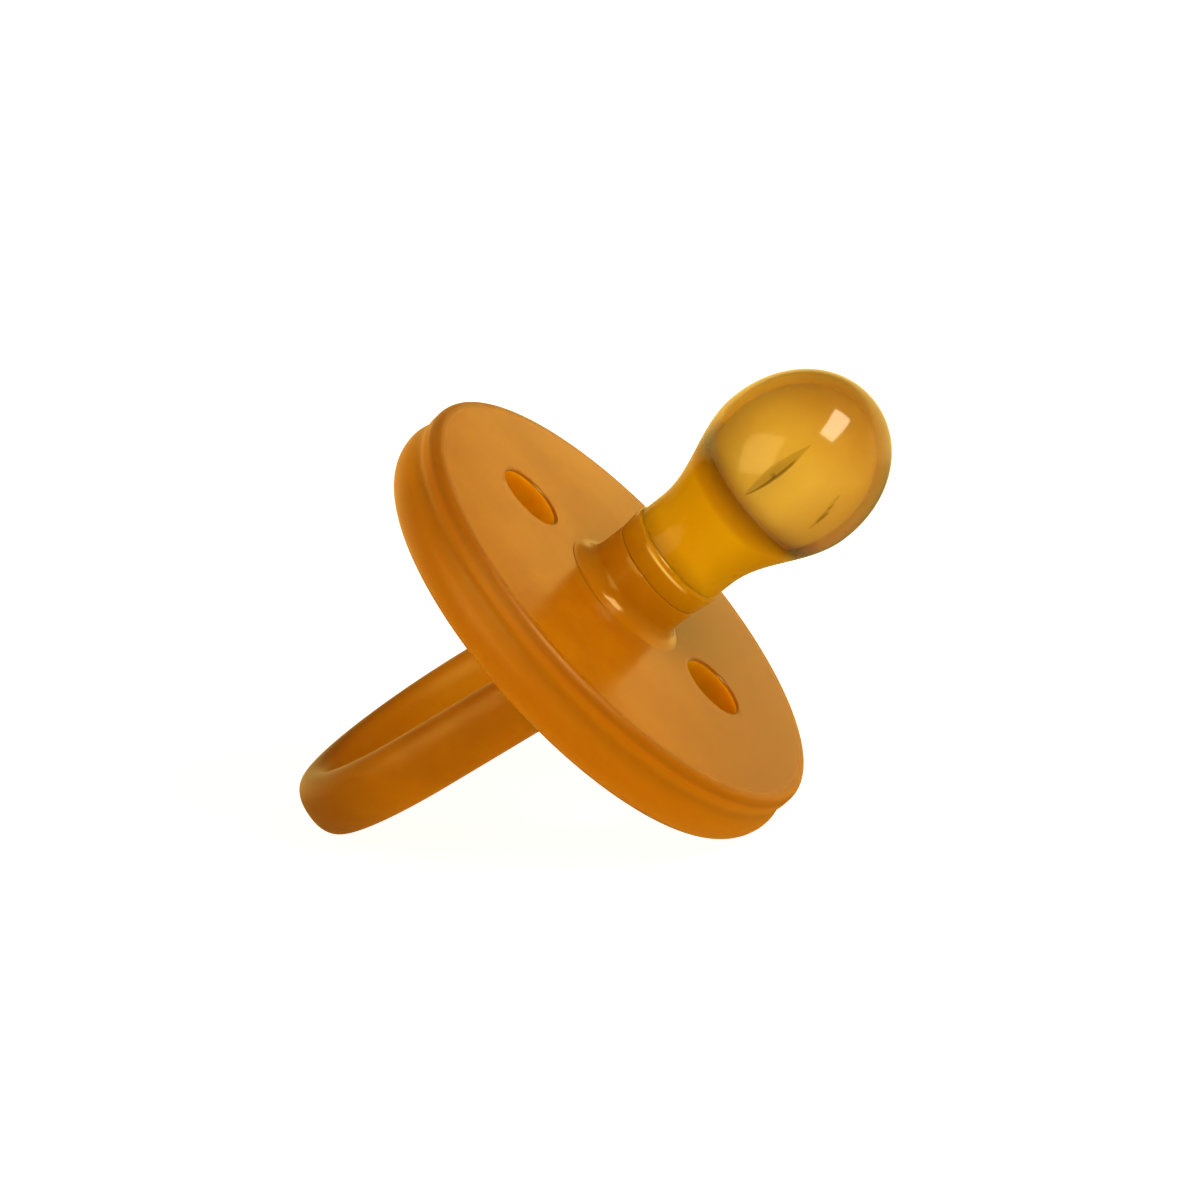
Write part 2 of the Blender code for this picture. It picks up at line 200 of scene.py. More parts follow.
SHIELD = shield_frame()
TEAT = teat_frame()
HANDLE = handle_frame()


# ---------------------------------------------------------------------------------------------
# Mesh tools


def add_object(name, bm, matrix, sharp=SHARP_ANGLE):
    """Turn a bmesh in millimetres into a smooth-shaded object whose mesh lies in the row frame."""
    bmesh.ops.recalc_face_normals(bm, faces=bm.faces)
    mesh = bpy.data.meshes.new(name)
    bm.to_mesh(mesh)
    bm.free()
    mesh.transform(matrix @ Matrix.Scale(MM, 4))
    mesh.shade_smooth()
    mesh.set_sharp_from_angle(angle=math.radians(sharp))
    obj = bpy.data.objects.new(name, mesh)
    bpy.context.scene.collection.objects.link(obj)
    return obj


def even_angles(count):
    return [2 * math.pi * (step + 0.5) / count for step in range(count)]


def lathe(outline, angles):
    """Spin an outline of (radius, height) points about z, with a column at each angle.

    An outline that starts and ends on the axis is closed by the axis; any other is a closed loop.
    """
    bm = bmesh.new()
    rings = []
    segments = len(angles)
    for radius, height in outline:
        if radius == 0:
            rings.append([bm.verts.new((0, 0, height))])
            continue
        ring = []
        for angle in angles:
            ring.append(bm.verts.new((radius * math.cos(angle), radius * math.sin(angle), height)))
        rings.append(ring)
    pairs = list(zip(rings, rings[1:]))
    if outline[0][0] != 0:
        pairs.append((rings[-1], rings[0]))
    for lower, upper in pairs:
        for step in range(segments):
            after = (step + 1) % segments
            if len(lower) == 1:
                bm.faces.new((lower[0], upper[step], upper[after]))
            elif len(upper) == 1:
                bm.faces.new((lower[step], upper[0], lower[after]))
            else:
                bm.faces.new((lower[step], lower[after], upper[after], upper[step]))
    return bm


def loft(sections):
    """Skin a list of rings of points, and cap both ends."""
    bm = bmesh.new()
    rings = [[bm.verts.new(point) for point in section] for section in sections]
    count = len(rings[0])
    for lower, upper in zip(rings, rings[1:]):
        for step in range(count):
            after = (step + 1) % count
            bm.faces.new((lower[step], lower[after], upper[after], upper[step]))
    bm.faces.new(rings[0])
    bm.faces.new(reversed(rings[-1]))
    return bm


def arc(centre, radii, start, end, steps):
    """Points on an elliptical arc, as (radius, height), from one angle in degrees to another."""
    points = []
    for step in range(steps + 1):
        angle = math.radians(start + (end - start) * step / steps)
        radius = centre[0] + radii[0] * math.cos(angle)
        points.append((radius, centre[1] + radii[1] * math.sin(angle)))
    return points


def paint(piece, name, matrix, value):
    """Store a number for each vertex, worked out from its place in millimetres in a frame."""
    to_local = Matrix.Scale(1 / MM, 4) @ matrix.inverted()
    layer = piece.data.attributes.new(name, "FLOAT", "POINT")
    layer.data.foreach_set("value", [value(to_local @ vert.co) for vert in piece.data.vertices])


def ease(share):
    """From 0 to 1 as the share goes from 0 to 1, level at both ends."""
    return 0.5 - 0.5 * math.cos(math.pi * share)


def fade(value, start, end):
    """0 up to the start and 1 past the end, with a smooth change between; it may run downwards."""
    share = min(max((value - start) / (end - start), 0.0), 1.0)
    return share * share * (3 - 2 * share)


def hump(share):
    """1 at zero, falling to 0 at 1 and at -1."""
    return max(1 - share * share, 0.0)


def off_axis(point):
    """How far a point is from the z axis."""
    return math.hypot(point.x, point.y)


# ---------------------------------------------------------------------------------------------
# Shield


def face_height(radius):
    """The face is a very shallow dome that steepens towards its lip."""
    edge = SHIELD_RADIUS - LIP_WIDTH
    return FACE_DOME * (1 - (min(radius, edge) / edge) ** 4)


def waist_radius(depth):
    if depth < GROOVE_DEPTH:
        share = max(depth - GROOVE_START, 0) / (GROOVE_DEPTH - GROOVE_START)
        return SHIELD_RADIUS + (GROOVE_RADIUS - SHIELD_RADIUS) * ease(share)
    share = (depth - GROOVE_DEPTH) / (REAR_RIM_DEPTH - GROOVE_DEPTH)
    return GROOVE_RADIUS + (REAR_RIM_RADIUS - GROOVE_RADIUS) * ease(share)


def waist(start, end, steps):
    """Points down the waist, after its start."""
    depths = [start + (end - start) * (step + 1) / steps for step in range(steps)]
    return [(waist_radius(depth), -depth) for depth in depths]


def vent_rod(middle):
    """A rod that flares at both faces, to round the edges of the vent that it cuts."""
    flare = VENT_RADIUS + VENT_LIP
    reach = 4.0
    outline = [(0, reach), (flare, reach)]
    outline += arc((flare, face_height(abs(middle)) - VENT_LIP), (-VENT_LIP, VENT_LIP), 90, 0, 6)
    outline += arc((flare, VENT_LIP - SHIELD_THICKNESS), (-VENT_LIP, -VENT_LIP), 0, 90, 6)
    outline += [(flare, -SHIELD_THICKNESS - reach), (0, -SHIELD_THICKNESS - reach)]
    bm = lathe(outline, even_angles(72))
    bmesh.ops.translate(bm, verts=bm.verts, vec=(middle, 0, 0))
    return add_object("vent_rod", bm, SHIELD)


def cut_vents(piece):
    """Cut both vents, and keep the shading of the broad faces even up to their edges."""
    rods = [vent_rod(VENT_SHIFT + side * VENT_SPACING / 2) for side in (-1, 1)]
    for rod in rods:
        cut = piece.modifiers.new("vent", "BOOLEAN")
        cut.operation = "DIFFERENCE"
        cut.solver = "EXACT"
        cut.object = rod
    bpy.context.view_layer.update()
    graph = bpy.context.evaluated_depsgraph_get()
    mesh = bpy.data.meshes.new_from_object(piece.evaluated_get(graph))
    piece.modifiers.clear()
    piece.data = mesh
    for rod in rods:
        bpy.data.objects.remove(rod)
    mesh.shade_smooth()
    mesh.set_sharp_from_angle(angle=math.radians(SHARP_ANGLE))
    normals = piece.modifiers.new("normals", "WEIGHTED_NORMAL")
    normals.mode = "FACE_AREA"
    normals.keep_sharp = True


def make_shield():
    """Both discs as one solid, because their bond doesn't show in the real rubber."""
    hole = NECK_RADIUS + GAP
    seat = NECK_RADIUS + ROOT_FILLET - FOOT_LIP + SEAM
    edge = SHIELD_RADIUS - LIP_WIDTH
    outline = [
        (BREATHER_RADIUS, -PLUG_SEAT_DEPTH),
        (PLUG_SEAT_RADIUS, -PLUG_SEAT_DEPTH),
        (PLUG_SEAT_RADIUS, -FLANGE_SEAT_DEPTH),
        (FLANGE_RADIUS + GAP, -FLANGE_SEAT_DEPTH),
        (FLANGE_RADIUS + GAP, -GROOVE_DEPTH),
        (hole, -GROOVE_DEPTH),
        (hole, -ROOT_SEAT_DEPTH),
        (seat, -ROOT_SEAT_DEPTH),
    ]
    rings = 26
    for step in range(rings):
        radius = seat + (edge - seat) * step / rings
        outline.append((radius, face_height(radius)))
    outline += arc((edge, -LIP_DEPTH), (LIP_WIDTH, LIP_DEPTH), 90, 0, 18)
    outline += waist(LIP_DEPTH, REAR_RIM_DEPTH, 26)
    depth = SHIELD_THICKNESS - REAR_RIM_DEPTH
    middle = REAR_RIM_RADIUS - REAR_EDGE_WIDTH
    outline += arc((middle, -REAR_RIM_DEPTH), (REAR_EDGE_WIDTH, depth), 0, -90, 24)[1:]
    rings = 8
    start = BREATHER_RADIUS + VENT_LIP
    for step in range(1, rings):
        outline.append((middle + (start - middle) * step / rings, -SHIELD_THICKNESS))
    outline += arc((start, VENT_LIP - SHIELD_THICKNESS), (-VENT_LIP, -VENT_LIP), 90, 0, 5)
    shield = add_object("shield_disc", lathe(outline, even_angles(256)), SHIELD)
    cut_vents(shield)
    paint(shield, "bonded", SHIELD, bonded)
    paint(shield, "rim_dull_and_painted_shade", SHIELD, rim_dull_and_painted_shade)
    paint(shield, "upper_rim_painted_light", SHIELD, upper_rim_painted_light)
    paint(shield, "lip_painted_shade", SHIELD, lip_painted_shade)
    paint(shield, "vent", SHIELD, vent_painted_light)
    paint(shield, "vent_edge_painted_shade", SHIELD, vent_edge_painted_shade)
    # Painted shade: the face is painted darker towards the bottom and the right.
    paint(shield, "lower", SHIELD, lambda point: fade(point.x + 0.4 * point.y, -6, 18))
    return shield


def bonded(point):
    """1 where other pieces are bonded on, so that the light soaking in shows no edge there."""
    if point.z > -0.5 * SHIELD_THICKNESS:
        return fade(off_axis(point), 9, 6)
    from_foot = math.hypot(point.x, abs(point.y) - LEG_OFFSET)
    return fade(from_foot, 6.5, 4.5)


def rim_dull_and_painted_shade(point):
    """1 outside the face: the rim came out of the mould duller than the face, and it is painted a little darker
    there as painted shade.
    """
    return fade(off_axis(point), SHIELD_RADIUS - 0.9, SHIELD_RADIUS - 0.3)


def upper_rim_painted_light(point):
    """1 on the part of the rim that faces up and away, which is painted paler there as painted light."""
    return rim_dull_and_painted_shade(point) * fade(point.y, -12, -4) * fade(point.x, 0, -8)


def lip_painted_shade(point):
    """1 on the narrow rounded edge between the face and the rim, which is dull and is painted dark there as
    painted shade.
    """
    return fade(off_axis(point), SHIELD_RADIUS - 1.2, SHIELD_RADIUS - 0.8) * fade(point.z, -1.1, -0.6)


def vent_painted_light(point):
    """High on the vents' walls, painted light: a paler tone that stands in for the light that soaked into the
    shield coming out again there.

    More of it is painted at the upper vent than at the lower one.
    """
    for side in (-1, 1):
        away = math.hypot(point.x - VENT_SHIFT - side * VENT_SPACING / 2, point.y)
        if away < VENT_RADIUS + 0.1 * VENT_LIP:
            return 0.9 - 0.1 * side
    return 0.0


def vent_edge_painted_shade(point):
    """1 on the rounded edges of the vents in the face, painted as a thin dark outline of painted shade."""
    middle = math.hypot(abs(point.x - VENT_SHIFT) - VENT_SPACING / 2, point.y)
    return 1.0 if point.z > -1 and 0.1 * VENT_LIP < middle - VENT_RADIUS < 0.9 * VENT_LIP else 0.0


# ---------------------------------------------------------------------------------------------
# Collar, band and teat


def droop(point):
    """Bend a point of the collar as the CAD collar bends, from the shield's frame to the teat's."""
    turn = (SHIELD.inverted() @ TEAT).to_quaternion().angle
    share = min(max(point.z / (2 * NOD_HEIGHT), 0.0), 1.0)
    pivot = Vector((0, 0, NOD_HEIGHT))
    return pivot + Matrix.Rotation(turn * share, 3, "Y") @ (point - pivot)


def make_collar():
    """A tube whose foot spreads over the face in a fillet, with its flange inside the shield."""
    foot = NECK_RADIUS + ROOT_FILLET
    seat = foot - FOOT_LIP
    root = face_height(foot) + FOOT_TOP
    outline = [
        (COLLAR_BORE_RADIUS, -FLANGE_BACK_DEPTH),
        (FLANGE_RADIUS, -FLANGE_BACK_DEPTH),
        (FLANGE_RADIUS, -FLANGE_FRONT_DEPTH),
        (NECK_RADIUS, -FLANGE_FRONT_DEPTH),
        (NECK_RADIUS, SEAM - ROOT_SEAT_DEPTH),
        (seat, SEAM - ROOT_SEAT_DEPTH),
        (seat, face_height(seat) + FOOT_LIFT),
        (foot, face_height(foot) + FOOT_LIFT),
    ]
    fillet_top = root + ROOT_FILLET
    outline += arc((foot, fillet_top), (ROOT_FILLET, ROOT_FILLET), 270, 180, 18)
    corner = (NECK_RADIUS - COLLAR_CORNER, COLLAR_HEIGHT - COLLAR_CORNER)
    rings = 6
    for step in range(1, rings):
        outline.append((NECK_RADIUS, fillet_top + (corner[1] - fillet_top) * step / rings))
    outline += arc(corner, (COLLAR_CORNER, COLLAR_CORNER), 0, 90, 5)
    outline += [
        (TEAT_BORE_RADIUS - GAP, COLLAR_HEIGHT),
        (TEAT_BORE_RADIUS - GAP, SPIGOT_HEIGHT),
        (COLLAR_BORE_RADIUS, SPIGOT_HEIGHT),
    ]
    rings = 11
    for step in range(1, rings + 1):
        outline.append((COLLAR_BORE_RADIUS, SPIGOT_HEIGHT * (1 - step / rings)))
    bm = lathe(outline, even_angles(144))
    for vert in bm.verts:
        vert.co = droop(vert.co)
    collar = add_object("collar", bm, SHIELD)
    paint(collar, "root", SHIELD, lambda point: fade(point.z, root + 1.2 * ROOT_FILLET, root))
    paint(collar, "bonded", SHIELD, lambda point: 1 - 0.7 * fade(point.z, root, fillet_top))
    return collar


def make_band():
    """A shallow ring with a rounded upper shoulder, and a painted highlight streak on its slope."""
    bottom = COLLAR_HEIGHT + BAND_SEAM
    outer = NECK_RADIUS + BAND_PROUD
    inner = outer - BAND_THICKNESS
    corner = 0.1
    shoulder = 0.45  # radius of the rounding
    end = 58  # degrees that it turns through
    shoulder_height = BAND_TOP - shoulder * math.sin(math.radians(end))
    outline = [(inner, BAND_TOP), (inner, (bottom + BAND_TOP) / 2), (inner, bottom)]
    outline += arc((NECK_RADIUS - corner, bottom + corner), (corner, corner), -90, -20, 5)
    slope = 24
    for step in range(1, slope):
        share = step / slope
        height = bottom + corner + (shoulder_height - bottom - corner) * share
        outline.append((NECK_RADIUS + BAND_PROUD * math.sin(math.pi / 2 * share), height))
    outline += arc((outer - shoulder, shoulder_height), (shoulder, shoulder), 0, end, 12)
    band = add_object("band", lathe(outline, even_angles(144)), TEAT)
    paint(band, "painted_highlight_streak", TEAT, band_painted_highlight)
    return band


def band_painted_highlight(point):
    """1 on the part of the band where a pale streak is painted as a painted highlight."""
    turn = (math.degrees(math.atan2(point.y, point.x)) - STREAK_MIDDLE) / STREAK_HALF
    height = (point.z - STREAK_HEIGHT) / STREAK_WIDTH
    return hump(turn) * hump(height)


def dome(bulb, top, steps):
    """Outline from the bulb's widest place to the tip on the axis."""
    outline = []
    power = 2 / TIP_SQUARENESS
    for step in range(steps):
        angle = math.pi / 2 * step / steps
        height = BULB_HEIGHT + (top - BULB_HEIGHT) * math.sin(angle) ** power
        outline.append((bulb * math.cos(angle) ** power, height))
    outline.append((0, top))
    return outline


def column(radius, start, end, steps):
    """Points along the axis at one radius, from one height to another."""
    return [(radius, start + (end - start) * step / steps) for step in range(steps + 1)]


def quarter_round(share):
    """Rises steeply at first and level at the end, as a quarter of a circle does."""
    return math.sqrt(1 - (1 - share) ** 2)


def swell(start, neck, bulb, steps, rise):
    """Outline that widens from the neck to the bulb's widest place, by a given curve."""
    outline = []
    for step in range(steps):
        share = step / steps
        outline.append((neck + (bulb - neck) * rise(share), start + (BULB_HEIGHT - start) * share))
    return outline


def crease(point):
    """How far the folds in the bulb's wall pull a point inwards, and how much painted shade darkens it."""
    drop = 0.0
    painted_shade = 0.0
    for low, high, low_angle, high_angle, half_width, depth, fold in CREASES:
        along = 2 * (point.z - low) / (high - low) - 1
        if abs(along) >= 1:
            continue
        angle = low_angle + (high_angle - low_angle) * (along + 1) / 2
        half = half_width * hump(along)
        turn = math.atan2(point.y, point.x) - math.radians(angle)
        across = turn * off_axis(point) / half
        if abs(across) >= 1:
            continue
        side = 1 - fold if across > fold else 1 + fold
        share = 1 - abs(across - fold) / side
        drop += depth * hump(along) * share
        # painted shade on the far side of each fold's deepest line
        far_side = fade(across, fold - 0.1, fold + 0.1) * fade(along, 0.625, 0.375)
        painted_shade = 0.5 * (1 - abs(across) ** 6) + 0.5 * far_side
    return drop, painted_shade


def teat_angles():
    """Columns round the teat, closer together at the main fold."""
    middle = CREASES[0][2]
    near = 9
    fine = 0.35
    coarse = 1.5
    turn = middle - 180
    angles = []
    while turn < middle + 180 - 0.5 * fine:
        angles.append(math.radians(turn))
        turn += fine if abs(turn - middle) < near else coarse
    return angles


def make_teat():
    """The bulb and neck as one hollow shell, with its folds, its painted tones and its painted shade."""
    bottom = COLLAR_HEIGHT + BAND_SEAM
    seat = NECK_RADIUS + BAND_PROUD - BAND_THICKNESS - SEAM
    cavity = BULB_RADIUS - TEAT_WALL
    inside = swell(CAVITY_START, TEAT_BORE_RADIUS, cavity, 36, quarter_round)
    inside += dome(cavity, TEAT_LENGTH - TEAT_WALL, 34)
    outside = swell(NECK_HEIGHT, NECK_RADIUS, BULB_RADIUS, 96, ease)
    outside += dome(BULB_RADIUS, TEAT_LENGTH, 100)
    skirt_top = BAND_TOP - 0.1
    bore = column(TEAT_BORE_RADIUS, CAVITY_START, bottom, 16)[1:]
    skirt = column(seat, bottom, skirt_top, 6)
    neck = column(NECK_RADIUS, skirt_top, NECK_HEIGHT, 8)[:-1]
    outline = list(reversed(inside)) + bore + skirt + neck + outside
    bm = lathe(outline, teat_angles())
    painted_fold_shade = bm.verts.layers.float.new("fold")
    for vert in bm.verts:
        if off_axis(vert.co) > BULB_RADIUS - TEAT_WALL:
            radial = Vector((vert.co.x, vert.co.y, 0)).normalized()
            drop, vert[painted_fold_shade] = crease(vert.co)
            vert.co -= radial * drop
    shell = add_object("teat_shell", bm, TEAT, 60)
    paint(shell, "clear", TEAT, lambda point: fade(point.z, CAVITY_START + 0.3, CAVITY_START + 2.5))
    paint(shell, "painted_shade", TEAT, teat_shade)
    paint(shell, "deep", TEAT, lambda point: fade(point.z, CAVITY_START + 2.4, CAVITY_START + 0.8))
    to_teat = TEAT.inverted()
    for face in shell.data.polygons:
        middle = to_teat @ face.center / MM
        face.material_index = 1 if is_lining(middle) else 0
    return shell


def teat_shade(point):
    """Painted shade on the teat, where it is darker: by the band, below, at the tip and where the bulb's wall
    starts.
    """
    by_band = 0.6 * fade(point.z, BAND_TOP + 2, BAND_TOP)
    underside = fade(point.x, 1, 5) * (0.3 + 0.5 * fade(point.z, 17, 13))
    tip = 0.55 * fade(point.z, 20.5, 26.5)
    at_wall = 0.75 * hump((point.z - CAVITY_START - 0.7) / 1.2)
    return max(by_band, underside, tip, at_wall)


def is_lining(point):
    """Whether a face's middle lies on the inside of the teat's wall, and not on its outside."""
    away = off_axis(point)
    if point.z < BULB_HEIGHT:
        share = max(point.z - NECK_HEIGHT, 0) / (BULB_HEIGHT - NECK_HEIGHT)
        outer = NECK_RADIUS + (BULB_RADIUS - NECK_RADIUS) * ease(share)
        margin = 0.6  # more than the folds are deep
        return point.z > BAND_TOP and away < outer - margin
    rise = (point.z - BULB_HEIGHT) / (TEAT_LENGTH - BULB_HEIGHT)
    halfway = 1 - 0.5 * TEAT_WALL / BULB_RADIUS
    return math.hypot(away / BULB_RADIUS, rise) < halfway


# ---------------------------------------------------------------------------------------------
# Handle


def oval(width, depth, count=56):
    """A squared oval as (across the band, through the band) pairs."""
    points = []
    power = 2 / BAND_SQUARENESS
    for step in range(count):
        angle = 2 * math.pi * (step + 0.5) / count
        cosine, sine = math.cos(angle), math.sin(angle)
        across = math.copysign(abs(cosine) ** power, cosine) * width / 2
        through = math.copysign(abs(sine) ** power, sine) * depth / 2
        points.append((across, through))
    return points


def make_foot(name, side):
    """The band's end: it flares into a fillet on the shield's back and leans with the handle."""
    hinge = Vector((0, 0, -SHIELD_THICKNESS - HINGE_DEPTH))
    offset = side * LEG_OFFSET
    top = -SHIELD_THICKNESS + 0.1
    bottom = hinge.z - FOOT_END + SEAM
    steps = 22
    sections = []
    for step in range(steps + 1):
        height = top + (bottom - top) * step / steps
        below = min(max((-SHIELD_THICKNESS - height) / (-SHIELD_THICKNESS - bottom), 0.0), 1.0)
        flare = 2 * FOOT_FLARE * (1 - math.sqrt(1 - (1 - below) ** 2)) if below < 1 else 0.0
        turn = Matrix.Rotation(HANDLE_FLEX * fade(below, 0, 1), 3, "Y")
        ring = []
        for across, through in oval(BAND_WIDTH + flare, BAND_DEPTH + flare):
            point = Vector((across, offset + through, height))
            ring.append(hinge + turn @ (point - hinge))
        sections.append(ring)
    foot = add_object(name, loft(sections), SHIELD)
    back = -SHIELD_THICKNESS
    paint(foot, "bonded", SHIELD, lambda point: fade(point.z, back - FOOT_FLARE, back))
    return foot


def make_handle():
    """The band's oval section, carried down one leg, round the loop's end and up the other."""
    half = LEG_OFFSET
    end = LOOP_REACH - LEG_END
    middle_line = []
    leg_steps = 24
    for step in range(leg_steps):
        behind = FOOT_END + (LEG_END - FOOT_END) * step / leg_steps
        middle_line.append((Vector((-half, behind)), Vector((-1, 0))))
    arc_steps = 120
    for step in range(arc_steps + 1):
        angle = math.pi * step / arc_steps
        at = Vector((-half * math.cos(angle), LEG_END + end * math.sin(angle)))
        outward = Vector((-end * math.cos(angle), half * math.sin(angle)))
        middle_line.append((at, outward.normalized()))
    for step in range(leg_steps):
        behind = LEG_END + (FOOT_END - LEG_END) * (step + 1) / leg_steps
        middle_line.append((Vector((half, behind)), Vector((1, 0))))
    sections = []
    for at, outward in middle_line:
        ring = []
        for across, through in oval(BAND_WIDTH, BAND_DEPTH):
            point = at + outward * through
            ring.append(Vector((across, point.x, -point.y)))
        sections.append(ring)
    band = add_object("handle_band", loft(sections), HANDLE)
    # Painted light: the side of the band that faces into the loop is painted paler.
    paint(band, "inner", HANDLE, inside_loop)
    # Painted shade: the far end of the loop is painted darker, away from its inner side.
    paint(band, "end", HANDLE, lambda point: (1 - inside_loop(point)) * fade(point.z, -12, -24))
    return band


def inside_loop(point):
    """1 on the side of the band that faces into the loop."""
    bend = min(point.z + LEG_END, 0) / (LOOP_REACH - LEG_END)
    inwards = (1 - math.hypot(point.y / LEG_OFFSET, bend)) * LEG_OFFSET
    return fade(inwards, 0, 0.4 * BAND_DEPTH)


# ---------------------------------------------------------------------------------------------
# Materials


class Nodes:
    """A short way to add and wire shader nodes in one material."""

    def __init__(self, name):
        self.material = bpy.data.materials.new(name)
        self.material.use_nodes = True
        self.tree = self.material.node_tree
        self.shader = self.tree.nodes["Principled BSDF"]
        self.output = self.tree.nodes["Material Output"]
        self.place = self.add("ShaderNodeTexCoord").outputs["Object"]

    def add(self, kind, **inputs):
        node = self.tree.nodes.new(kind)
        for name, value in inputs.items():
            self.feed(node.inputs[name.replace("_", " ")], value)
        return node

    def feed(self, socket, value):
        if isinstance(value, bpy.types.NodeSocket):
            self.tree.links.new(value, socket)
        else:
            socket.default_value = value

    def painted(self, name):
        """A number painted on the mesh's vertices."""
        node = self.tree.nodes.new("ShaderNodeAttribute")
        node.attribute_name = name
        return node.outputs["Fac"]

    def noise(self, size, detail):
        """Noise whose features are about size millimetres across, from 0 to 1."""
        node = self.add("ShaderNodeTexNoise", Scale=1 / (size * MM), Detail=detail, Roughness=0.5)
        self.feed(node.inputs["Vector"], self.place)
        return node.outputs["Fac"]

    def spread(self, value, low, high, to_low=0.0, to_high=1.0):
        """Map the range low..high of a value to another range, clamped."""
        node = self.add("ShaderNodeMapRange")
        self.feed(node.inputs["Value"], value)
        ends = {"From Min": low, "From Max": high, "To Min": to_low, "To Max": to_high}
        for name, number in ends.items():
            node.inputs[name].default_value = number
        return node.outputs["Result"]

    def mix(self, share, first, second):
        """Mix two colours, each of them a socket or three numbers."""
        node = self.tree.nodes.new("ShaderNodeMix")
        node.data_type = "RGBA"
        self.feed(node.inputs["Factor"], share)
        for letter, colour in (("A", first), ("B", second)):
            socket = next(i for i in node.inputs if i.type == "RGBA" and i.name == letter)
            self.feed(socket, (*colour, 1.0) if isinstance(colour, tuple) else colour)
        return next(socket for socket in node.outputs if socket.type == "RGBA")

    def bump(self, height, distance):
        """Unevenness that is distance millimetres deep."""
        node = self.add("ShaderNodeBump", Strength=1.0, Distance=distance * MM)
        self.feed(node.inputs["Height"], height)
        return node.outputs["Normal"]

    def set(self, **inputs):
        """Set the shader's own sockets, each to a number, a colour or another node's output."""
        for name, value in inputs.items():
            socket = self.shader.inputs[name.replace("_", " ")]
            if socket.type == "RGBA" and isinstance(value, tuple):
                value = (*value, 1.0)
            self.feed(socket, value)


def rubber(name, colour, deep, depth, gloss, special, dull=None, seam=None):
    """Clouded amber rubber: light soaks in, the colour drifts between two tones, and slight
    unevenness from the mould breaks up the gloss.

    depth is how far red light travels in it, in millimetres, and gloss is the range of its
    roughness. special gives the colour where each painted number is 1. dull and seam name the
    numbers painted where it is rougher, and where less light soaks in.
    """
    n = Nodes(name)
    tone = n.mix(n.spread(n.noise(6.0, 3.0), 0.35, 0.7), colour, deep)
    tone = n.mix(n.spread(n.noise(1.5, 2.0), 0.35, 0.7, 0.0, 0.1), tone, deep)
    for area, there in special.items():
        tone = n.mix(n.painted(area), tone, there)
    shine = n.spread(n.noise(6.0, 0.0), 0.0, 1.0, *gloss)
    if dull:
        rougher = n.add("ShaderNodeMath")
        rougher.operation = "MULTIPLY_ADD"
        n.feed(rougher.inputs[0], n.painted(dull))
        rougher.inputs[1].default_value = 0.2
        n.feed(rougher.inputs[2], shine)
        shine = rougher.outputs[0]
    n.set(
        Base_Color=tone,
        Roughness=shine,
        Normal=n.bump(n.noise(4.0, 0.0), 0.02),
        IOR=1.5,
        Specular_Tint=GLOSS_TINT,
        Subsurface_Weight=n.spread(n.painted(seam), 0.0, 1.0, 1.0, 0.1) if seam else 1.0,
        Subsurface_Scale=depth * MM,
        Subsurface_Radius=(1.0, 0.65, 0.3),
    )
    return n.material


def clear_rubber(name, thick, half, thin, brown, dark):
    """The teat's rubber: cloudy in the thick neck, and clear in the bulb's thin wall, where you see
    into it and its colour comes from its depth.

    thick, half and thin are its tones from the neck up to the bulb, brown is for its painted shade and dark for
    the painted shade in the folds. The clear rubber bends light little, as a wall does that is wet on both sides,
    so its gloss comes from a coat.
    """
    n = Nodes(name)
    clear = n.painted("clear")
    ripple = n.bump(n.noise(4.0, 0.0), 0.02)
    tone = n.mix(n.spread(clear, 0.0, 0.3), thick, half)
    tone = n.mix(n.spread(clear, 0.85, 1.0), tone, thin)
    tone = n.mix(n.painted("painted_shade"), tone, brown)
    n.set(
        # painted shade: the folds are painted dark
        Base_Color=n.mix(n.painted("fold"), tone, dark),
        Roughness=n.spread(n.noise(6.0, 0.0), 0.0, 1.0, 0.2, 0.3),
        Normal=ripple,
        IOR=1.1,
        Transmission_Weight=n.spread(clear, 0.0, 1.0, 0.0, 0.93),
        Subsurface_Weight=1.0,
        Subsurface_Scale=1.3 * MM,
        Subsurface_Radius=(1.0, 0.85, 0.5),
        Coat_Weight=n.spread(clear, 0.0, 1.0, 0.25, 0.9),
        Coat_Roughness=0.1,
        Coat_IOR=1.5,
        Coat_Normal=ripple,
    )
    inside = n.add("ShaderNodeVolumeAbsorption", Color=(0.9, 0.785, 0.1, 1.0), Density=800.0)
    n.feed(n.output.inputs["Volume"], inside.outputs["Volume"])
    return n.material


def cloudy_lining(name, colour, deep, brown):
    """The inside of the bulb, which its dipping left milky, and brown where the neck starts."""
    n = Nodes(name)
    tone = n.mix(n.spread(n.noise(3.0, 1.0), 0.3, 0.7), colour, deep)
    n.set(
        Base_Color=n.mix(n.painted("deep"), tone, brown),
        Roughness=n.spread(n.noise(6.0, 0.0), 0.0, 1.0, 0.35, 0.65),
        Normal=n.bump(n.noise(4.0, 0.0), 0.01),
    )
    return n.material


def use(piece, slot, *materials):
    """Give a piece its materials. Its faces already say which of them they use."""
    for material in materials:
        piece.data.materials.append(material)


# ---------------------------------------------------------------------------------------------
# Stage


def paper(name, glow):
    """Plain pale paper that also glows a little, so that it stays pale away from the lights."""
    n = Nodes(name)
    n.set(
        Base_Color=(0.5, 0.5, 0.5),
        Roughness=0.9,
        Emission_Color=(1.0, 1.0, 1.0),
        Emission_Strength=glow,
        Normal=n.bump(n.noise(2.0, 3.0), 0.02),
    )
    return n.material


